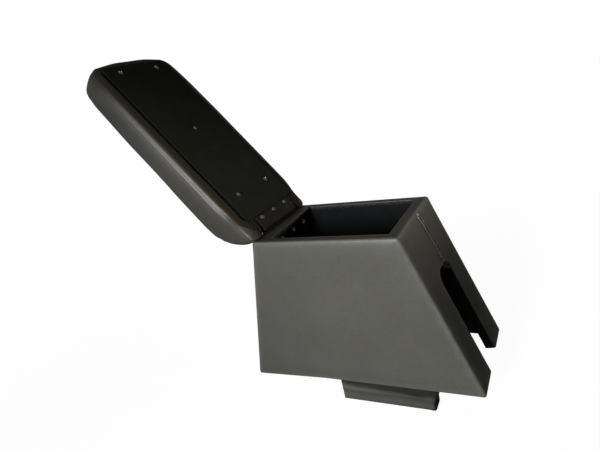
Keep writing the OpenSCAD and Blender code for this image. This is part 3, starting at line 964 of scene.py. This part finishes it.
class ARMREST_OT_lid_pad(bpy.types.Operator):
    """Upholsters the lid: a foam pad that swells inside its leatherette"""

    bl_idname = "armrest.lid_pad"
    bl_label = "Lid Pad"

    def execute(self, context):
        s = shape()
        scene = context.scene
        bm = merged_copy("lid_foam", "lid_base_board")
        bm.transform(LID_BACK)
        rough = bpy.data.meshes.new("lid_pad_start")
        bm.to_mesh(rough)
        bm.free()
        work = bpy.data.objects.new("lid_pad_start", rough)
        scene.collection.objects.link(work)
        voxels = work.modifiers.new("voxels", "REMESH")
        voxels.mode = "VOXEL"
        voxels.voxel_size = s.pad_cell
        even = bpy.data.meshes.new_from_object(
            work.evaluated_get(context.evaluated_depsgraph_get()))
        work.modifiers.remove(voxels)
        work.data = even
        bm = bmesh.new()
        bm.from_mesh(even)
        low = min(v.co.z for v in bm.verts)
        for turn in range(3):
            relax(bm, bm.verts[:], 0.4)
        bm.normal_update()
        # The smoothing shrinks the pad by about this much
        regained = 0.0012
        for vert in bm.verts:
            vert.co += vert.normal * regained
        bm.to_mesh(even)
        bm.free()
        floor_z = low - regained
        held = [v.index for v in even.vertices if v.co.z < floor_z + 0.0032]
        swollen(work, held, s.pad_pressure,
                lambda p: s.pad_swell * (0.5 + 0.5 * smooth_step((p.x - 0.008) / 0.04)),
                s.pad_steps)
        bm = bmesh.new()
        bm.from_mesh(work.data)
        bpy.data.objects.remove(work)
        for turn in range(3):
            relax(bm, [v for v in bm.verts if v.co.z > 0.004], 0.5)
        evened(bm, 60, lambda p: 0.5 * smooth_step((p.x - 0.006) / 0.03)
               * smooth_step((0.27 - p.x) / 0.02))
        bmesh.ops.subdivide_edges(bm, edges=bm.edges[:], cuts=1, use_grid_fill=True, smooth=1.0)
        fine = [e for e in bm.edges if all(v.co.x < 0.036 or v.co.z < floor_z + 0.012
                                           for v in e.verts)]
        bmesh.ops.subdivide_edges(bm, edges=fine, cuts=1, use_grid_fill=True, smooth=1.0)
        bm.normal_update()
        worn, crease, aged = layers(bm, "worn", "crease", "aged")
        moves = []
        for vert in bm.verts:
            p = vert.co
            # The pad is fuller than its board, with a hump in its rear half and a round end
            full = smooth_step((p.z + 0.001) / 0.012) * smooth_step((p.x + 0.002) / 0.06)
            tail = near(p.x - 0.075, 0.055) * smooth_step((p.z - 0.012) / 0.02)
            stretch = Vector((0, s.pad_fullness * full * p.y / 0.067,
                              0.6 * s.pad_fullness * full * p.z / 0.043 + s.pad_hump * tail))
            stretch.x = s.pad_end * smooth_step((p.x - 0.225) / 0.045) * (
                0.5 + 0.7 * smooth_step((0.068 - abs(p.y - 0.006)) / 0.05))
            # Beside the hinge the leatherette swells out, and its corners reach past the pin
            beside = smooth_step((0.02 - p.x) / 0.02) * smooth_step((abs(p.y) - 0.040) / 0.010)
            stretch.x -= beside * (s.pad_tail * near(p.z - 0.011, 0.009)
                                   + s.corner_tail * near(max(0.0, p.z - floor_z), 0.008))
            # Gathers fan out round the rear corners
            corner = near(p.x - 0.007, 0.010) * near(abs(p.y) - 0.051, 0.009)
            corner *= near(max(0.0, p.z - floor_z), 0.009)
            turn = math.atan2(abs(p.y) - 0.040, 0.024 - p.x)
            gather = s.pleat * corner * (math.sin(turn * 21 + 1.4 * noise.noise(p * 90)) - 0.4)
            wave = 0.00025 * noise.noise(p * 24)
            # The lower edge rolls up and out round the panel, and stays clear of the hinge
            beyond = panel_gap(p)
            clear = 0.5 * smooth_step((abs(p.y) - 0.042) / 0.01)
            clear += (1 - clear) * smooth_step((p.x - 0.018) / 0.02)
            low_part = near(max(0.0, p.z - floor_z), 0.010)
            rise = s.roll * smooth_step((beyond - 0.0004) / 0.0055) * low_part * clear
            spread_out = 0.0012 * smooth_step((beyond - 0.006) / 0.006) * low_part * clear
            if p.z < floor_z + 0.0006 and vert.normal.z < -0.7 and beyond < 0.001:
                wave = 0.0
            # Lighter on the roll, part wear and part painted highlight; painted shade in the joint
            # with the panel and in the corner gathers; painted warm shade near both and towards
            # the rear
            vert[worn] = 0.6 * low_part * smooth_step((beyond - 0.006) / 0.004)
            vert[crease] = min(1.0, low_part * (0.7 * near(max(0.0, beyond), 0.0042)
                                                + 0.9 * corner * (p.z < 0.006)))
            rear = 0.5 * (1 - smooth_step((p.x + 0.02) / 0.2))
            vert[aged] = max(rear, low_part * smooth_step((0.0135 - beyond) / 0.003))
            # The turn from the side to the underside is pulled out to a firm fold
            flat = math.hypot(vert.normal.x, vert.normal.y)
            fold = max(0.0, -2 * flat * vert.normal.z) ** 1.5
            fold *= smooth_step((beyond - 0.004) / 0.005)
            fold *= smooth_step((0.02 - p.z) / 0.01) * smooth_step((p.x - 0.01) / 0.03)
            move = stretch + vert.normal * (gather + wave * clear + s.pad_fold * fold)
            move += Vector((vert.normal.x, vert.normal.y, 0)) * spread_out
            move.z -= rise
            moves.append((vert, move))
        move_all(moves)
        for turn in range(3):
            loose = [v for v in bm.verts
                     if v.co.z > 0.010 or (panel_gap(v.co) > 0.004 and v.co.x > 0.03)]
            relax(bm, loose, 0.4)
        # The pad stays clear of the box's rear rim, whose two faces slant in the lid's frame
        for vert in bm.verts:
            z = vert.co.z
            room = max((0.0042 - 0.6 * z) / 0.8, (0.8 * z - 0.0034) / 0.6)
            vert.co.x = max(vert.co.x, -room)
        bm.transform(LID)
        pad = to_object(bm, "lid_leatherette", "lid", "grey leatherette",
                        ["lid_cover", "lid_foam", "lid_base_board"], sharp=75)
        return {"FINISHED"}


def panel_gap(p):
    """Distance outside the panel's outline, in the lid's frame."""
    low, high = PANEL_LOW, PANEL_HIGH
    side = abs(p.y) - (high.y - PANEL_ROUND)
    end = abs(p.x - (low.x + high.x) / 2) - ((high.x - low.x) / 2 - PANEL_ROUND)
    return math.hypot(max(side, 0), max(end, 0)) + min(max(side, end), 0) - PANEL_ROUND


def panel_screw_places():
    """The middles of the five panel screws in the lid's frame, from the CAD screws."""
    points = [LID_BACK @ v.co for v in frame["nodes"]["lid_liner_screws"].data.vertices]
    groups = []
    for p in points:
        for group in groups:
            if math.hypot(p.x - group[0].x, p.y - group[0].y) < 0.02:
                group.append(p)
                break
        else:
            groups.append([p])
    return [Vector(((min(q.x for q in g) + max(q.x for q in g)) / 2,
                    (min(q.y for q in g) + max(q.y for q in g)) / 2,
                    min(q.z for q in g))) for g in groups]


class ARMREST_OT_lid_panel(bpy.types.Operator):
    """Covers the panel under the lid in felt, dimpled at its screws"""

    bl_idname = "armrest.lid_panel"
    bl_label = "Lid Panel"

    def execute(self, context):
        s = shape()
        screws = panel_screw_places()
        bm = merged_copy("lid_liner_felt")
        bm.transform(LID_BACK)
        join_flats(bm)
        low, high = PANEL_LOW, PANEL_HIGH

        def rim_edge(a, b):
            level = max(abs(a.z - low.z), abs(b.z - low.z)) < ON_FACE
            return level and all(math.hypot(a.x - q.x, a.y - q.y) > 0.006 for q in screws)

        round_edges(bm, sharp_edges(bm, rim_edge, shortest=0.0), s.felt_round * 0.55, 3)
        slice_skin(bm, 0.0042, low, high)
        bm.normal_update()
        moves = []
        for vert in bm.verts:
            p = vert.co
            sink = sum(near(math.hypot(p.x - q.x, p.y - q.y), 0.0055) for q in screws)
            pile = noise.noise(p * 150) + 0.7 * noise.noise(p * 380)
            move = vert.normal * s.felt_pile * 0.5 * pile
            if vert.normal.z < -0.5:
                move.z += 0.00045 * sink + 0.00012 * noise.noise(p * 30)
            moves.append((vert, move))
        move_all(moves)
        bm.transform(LID)
        to_object(bm, "panel_felt", "lid", "panel felt", ["lid_liner_felt"], sharp=50)
        return {"FINISHED"}


class ARMREST_OT_panel_screws(bpy.types.Operator):
    """Sets five domed cross-head screws in the panel under the lid"""

    bl_idname = "armrest.panel_screws"
    bl_label = "Panel Screws"

    def execute(self, context):
        s = shape()
        cross_radius, cross_half_width, cross_depth = s.dome_radius * 0.62, 0.00036, 0.0009
        shank_end = -0.009
        bm = bmesh.new()
        for number, place in enumerate(panel_screw_places()):
            made = bmesh.ops.create_grid(bm, x_segments=34, y_segments=34,
                                         size=s.dome_radius * 1.08)
            turn = 0.5 + number * 1.1
            for vert in made["verts"]:
                x, y = vert.co.x, vert.co.y
                r = math.hypot(x, y)
                if r > s.dome_radius:
                    x, y, r = x * s.dome_radius / r, y * s.dome_radius / r, s.dome_radius
                rise = s.dome_height * (1 - (r / s.dome_radius) ** 2) ** 0.62
                u = abs(x * math.cos(turn) + y * math.sin(turn))
                v = abs(y * math.cos(turn) - x * math.sin(turn))
                if r < cross_radius and min(u, v) < cross_half_width:
                    rise -= cross_depth * (1 - (r / cross_radius) ** 4)
                vert.co = Vector((x, y, rise))
            grown = bmesh.ops.extrude_face_region(
                bm, geom=list({f for v in made["verts"] for f in v.link_faces}))
            shank = [g for g in grown["geom"] if isinstance(g, bmesh.types.BMVert)]
            for vert in shank:
                vert.co.x *= 0.5
                vert.co.y *= 0.5
                vert.co.z = shank_end
            # The middle screw passes close over the front rim when the lid closes
            sunk = 0.0020 if abs(place.y) < 0.01 else 0.0011
            lift = Matrix.Translation(Vector((place.x, place.y, place.z + sunk)))
            flip = Matrix.Rotation(math.pi, 4, "X")
            every = list(made["verts"]) + shank
            bmesh.ops.transform(bm, matrix=lift @ flip, verts=every)
        bmesh.ops.remove_doubles(bm, verts=bm.verts[:], dist=1e-6)
        bmesh.ops.recalc_face_normals(bm, faces=bm.faces[:])
        bm.transform(LID)
        to_object(bm, "panel_screws", "lid", "zinc plating", ["lid_liner_screws"],
                  sharp=50)
        return {"FINISHED"}


class ARMREST_OT_hard_parts(bpy.types.Operator):
    """Finishes the hinge, its screws, bolts and nuts, and the boards"""

    bl_idname = "armrest.hard_parts"
    bl_label = "Hard Parts"

    def execute(self, context):
        for name, nodes in NODE_FINISHES.items():
            for node in nodes:
                paint_node(node, name)
        return {"FINISHED"}


class ARMREST_OT_studio(bpy.types.Operator):
    """Sets the white floor, the studio light and the camera"""

    bl_idname = "armrest.studio"
    bl_label = "Studio"

    def lamp(self, name, place, target, size, spread_degrees, colour, power, in_gloss):
        data = bpy.data.lights.new(name, "AREA")
        data.color = colour
        data.spread = math.radians(spread_degrees)
        data.shape = "RECTANGLE"
        data.size, data.size_y = size
        data.energy = power
        lamp = bpy.data.objects.new(name, data)
        lamp.location = place
        aim = (Vector(target) - Vector(place)).to_track_quat("-Z", "Y")
        lamp.rotation_euler = aim.to_euler()
        lamp.visible_glossy = in_gloss
        bpy.context.scene.collection.objects.link(lamp)

    def seen_share(self, nodes, links, mirrored):
        """1 for what the camera or glass sees, a smaller share for what gloss shows."""
        path = nodes.new("ShaderNodeLightPath")
        gloss = maths(nodes, links, "MULTIPLY_ADD", path.outputs["Is Glossy Ray"], mirrored,
                      path.outputs["Is Camera Ray"])
        return maths(nodes, links, "ADD", gloss, path.outputs["Is Transmission Ray"], clamp=True)

    def shown(self, nodes, links, plain, strength):
        """The floor: plain for bounced light, white where it is seen, with its shadows."""
        path = nodes.new("ShaderNodeLightPath")
        glow = nodes.new("ShaderNodeEmission")
        away = nodes.new("ShaderNodeVectorMath")
        away.operation = "LENGTH"
        links.new(object_point(nodes), away.inputs[0])
        links.new(spread(nodes, links, away.outputs["Value"], GLOW_FROM, GLOW_TO,
                         strength - GLOW_FALL, strength), glow.inputs["Strength"])
        both = nodes.new("ShaderNodeAddShader")
        links.new(plain, both.inputs[0])
        links.new(glow.outputs[0], both.inputs[1])
        white = nodes.new("ShaderNodeBsdfDiffuse")
        white.inputs["Color"].default_value = (*FLOOR_IN_GLOSS, 1)
        bounced = either(nodes, links, path.outputs["Is Glossy Ray"], plain, white.outputs[0])
        direct = maths(nodes, links, "ADD", path.outputs["Is Camera Ray"],
                       path.outputs["Is Transmission Ray"])
        return either(nodes, links, direct, bounced, both.outputs[0])

    def execute(self, context):
        studio = context.scene.armrest_studio
        bm = bmesh.new()
        bmesh.ops.create_grid(bm, x_segments=2, y_segments=2, size=FLOOR_HALF)
        mesh = bpy.data.meshes.new("floor")
        bm.to_mesh(mesh)
        bm.free()
        floor = bpy.data.objects.new("floor", mesh)
        context.scene.collection.objects.link(floor)
        material, nodes, links, shader = new_material("white floor")
        shader.inputs["Base Color"].default_value = (*studio.floor, 1)
        shader.inputs["Roughness"].default_value = 0.9
        shader.inputs["Specular IOR Level"].default_value = 0.0
        links.new(self.shown(nodes, links, shader.outputs[0], studio.backdrop),
                  nodes["Material Output"].inputs["Surface"])
        mesh.materials.append(material)

        world = bpy.data.worlds.new("studio")
        world.use_nodes = True
        nodes, links = world.node_tree.nodes, world.node_tree.links
        plain = nodes["Background"]
        plain.inputs["Color"].default_value = (*SKY_TINT, 1)
        plain.inputs["Strength"].default_value = studio.sky
        seen = nodes.new("ShaderNodeBackground")
        seen.inputs["Strength"].default_value = studio.backdrop
        seen.inputs["Color"].default_value = (1, 1, 1, 1)
        choice = either(nodes, links, self.seen_share(nodes, links, studio.mirrored),
                        plain.outputs[0], seen.outputs[0])
        links.new(choice, nodes["World Output"].inputs["Surface"])
        context.scene.world = world

        for name, place, target, size, spread_degrees, colour, setting, in_gloss in LAMPS:
            self.lamp(name, place, target, size, spread_degrees, colour,
                      getattr(studio, setting), in_gloss)

        data = bpy.data.cameras.new("camera")
        data.lens = studio.lens
        data.sensor_width = SENSOR_WIDTH
        data.sensor_fit = "HORIZONTAL"
        camera = bpy.data.objects.new("camera", data)
        turn = Matrix((CAMERA_RIGHT, CAMERA_UP, CAMERA_BACK)).transposed().to_4x4()
        camera.matrix_world = Matrix.Translation(CAMERA_PLACE) @ turn
        context.scene.collection.objects.link(camera)
        context.scene.camera = camera
        context.scene.view_settings.view_transform = "Standard"
        return {"FINISHED"}


PIECES = (ARMREST_OT_box_leatherette, ARMREST_OT_front_seam, ARMREST_OT_bin_felt,
          ARMREST_OT_turned_edge, ARMREST_OT_side_feet, ARMREST_OT_lid_pad, ARMREST_OT_lid_panel,
          ARMREST_OT_panel_screws, ARMREST_OT_hard_parts, ARMREST_OT_studio)


class ARMREST_PT_sidebar(bpy.types.Panel):
    """Lists the armrest's pieces, sizes and finishes"""

    bl_idname = "ARMREST_PT_sidebar"
    bl_label = "Car Centre Armrest"
    bl_space_type = "VIEW_3D"
    bl_region_type = "UI"
    bl_category = "Armrest"

    def draw(self, context):
        for piece in PIECES:
            self.layout.operator(piece.bl_idname)
        for group in (context.scene.armrest_shape, context.scene.armrest_finish,
                      context.scene.armrest_studio):
            for name in group.__annotations__:
                self.layout.prop(group, name)


CLASSES = (ArmrestShape, ArmrestFinish, ArmrestStudio, *PIECES, ARMREST_PT_sidebar)


def register():
    for cls in CLASSES:
        bpy.utils.register_class(cls)
    bpy.types.Scene.armrest_shape = PointerProperty(type=ArmrestShape)
    bpy.types.Scene.armrest_finish = PointerProperty(type=ArmrestFinish)
    bpy.types.Scene.armrest_studio = PointerProperty(type=ArmrestStudio)


def unregister():
    del bpy.types.Scene.armrest_studio
    del bpy.types.Scene.armrest_finish
    del bpy.types.Scene.armrest_shape
    for cls in reversed(CLASSES):
        bpy.utils.unregister_class(cls)


def main():
    register()
    bpy.ops.armrest.studio()
    bpy.ops.armrest.box_leatherette()
    bpy.ops.armrest.front_seam()
    bpy.ops.armrest.turned_edge()
    bpy.ops.armrest.bin_felt()
    bpy.ops.armrest.side_feet()
    bpy.ops.armrest.lid_pad()
    bpy.ops.armrest.lid_panel()
    bpy.ops.armrest.panel_screws()
    bpy.ops.armrest.hard_parts()


if __name__ == "__main__":
    main()
